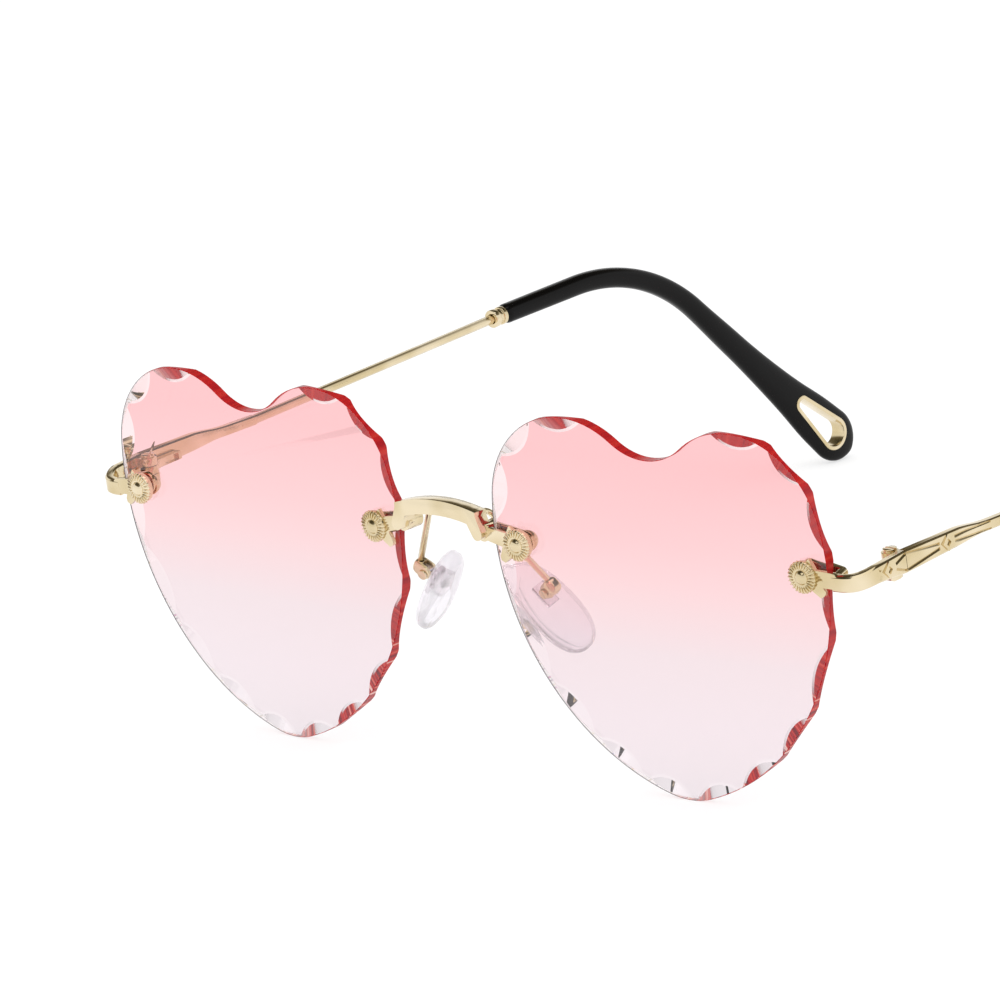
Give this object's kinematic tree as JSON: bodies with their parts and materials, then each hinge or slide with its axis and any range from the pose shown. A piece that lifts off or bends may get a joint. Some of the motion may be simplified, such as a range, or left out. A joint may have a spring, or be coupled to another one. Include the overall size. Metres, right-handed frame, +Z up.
{
  "type": "heart shaped sunglasses",
  "caption": "Rimless sunglasses with wave-cut heart lenses in fading pink, an arched metal bridge, rocking nose pads, folding temples and dark tips with an eye at each end.",
  "frame": {"origin": "middle of the open sunglasses' bounding box in X and Y, on the table they stand on", "axes": "+X towards the wearer's left, +Y from the lenses back along the temples, +Z up"},
  "size_m": [0.1472, 0.159, 0.0524],
  "materials": {
    "gold": "polished pale gold plating",
    "lens": "polished clear, pink at the top, nearly clear at the bottom",
    "silicone": "clear satin silicone",
    "clear_plastic": "clear moulded",
    "black_plastic": "polished black"
  },
  "bodies": {
    "front": {"lens_left": "lens", "lens_right": "lens", "bridge": "gold", "endpiece_left": "gold", "endpiece_right": "gold", "inner_screw_left": "gold", "inner_screw_right": "gold", "outer_screw_left": "gold", "outer_screw_right": "gold", "inner_sleeve_left": "clear_plastic", "inner_sleeve_right": "clear_plastic", "outer_sleeve_left": "clear_plastic", "outer_sleeve_right": "clear_plastic", "inner_washer_left": "gold", "inner_washer_right": "gold", "outer_washer_left": "gold", "outer_washer_right": "gold", "inner_nut_left": "gold", "inner_nut_right": "gold", "outer_nut_left": "gold", "outer_nut_right": "gold", "nose_arm_left": "gold", "nose_arm_right": "gold", "pad_box_left": "gold", "pad_box_right": "gold", "pad_screw_left": "gold", "pad_screw_right": "gold", "front_hinge_left": "gold", "front_hinge_right": "gold", "hinge_screw_left": "gold", "hinge_screw_right": "gold"},
    "temple_arm_left": {"temple_hinge_left": "gold", "temple_left": "gold", "tip_collar_left": "gold", "temple_tip_left": "black_plastic", "tip_eye_left": "gold"},
    "pad_left": {"nose_pad_left": "silicone", "pad_insert_left": "clear_plastic"},
    "temple_arm_right": {"temple_hinge_right": "gold", "temple_right": "gold", "tip_collar_right": "gold", "temple_tip_right": "black_plastic", "tip_eye_right": "gold"},
    "pad_right": {"nose_pad_right": "silicone", "pad_insert_right": "clear_plastic"}
  },
  "joints": [
    {"name": "temple_fold_left", "type": "hinge", "parent": "front", "child": "temple_arm_left", "pos_m": [0.07017, -0.0657, 0.03377], "axis": [0, -0.0628, 0.998], "range_deg": [0, 90]},
    {"name": "temple_fold_right", "type": "hinge", "parent": "front", "child": "temple_arm_right", "pos_m": [-0.07017, -0.0657, 0.03377], "axis": [0, 0.0628, -0.998], "range_deg": [0, 84]},
    {"name": "pad_rock_left", "type": "hinge", "parent": "front", "child": "pad_left", "pos_m": [0.012, -0.0704, 0.02577], "axis": [0.0824, 0.944, 0.3196], "range_deg": [-8, 8]},
    {"name": "pad_rock_right", "type": "hinge", "parent": "front", "child": "pad_right", "pos_m": [-0.012, -0.0704, 0.02577], "axis": [-0.0824, 0.944, 0.3196], "range_deg": [-8, 8]}
  ]
}
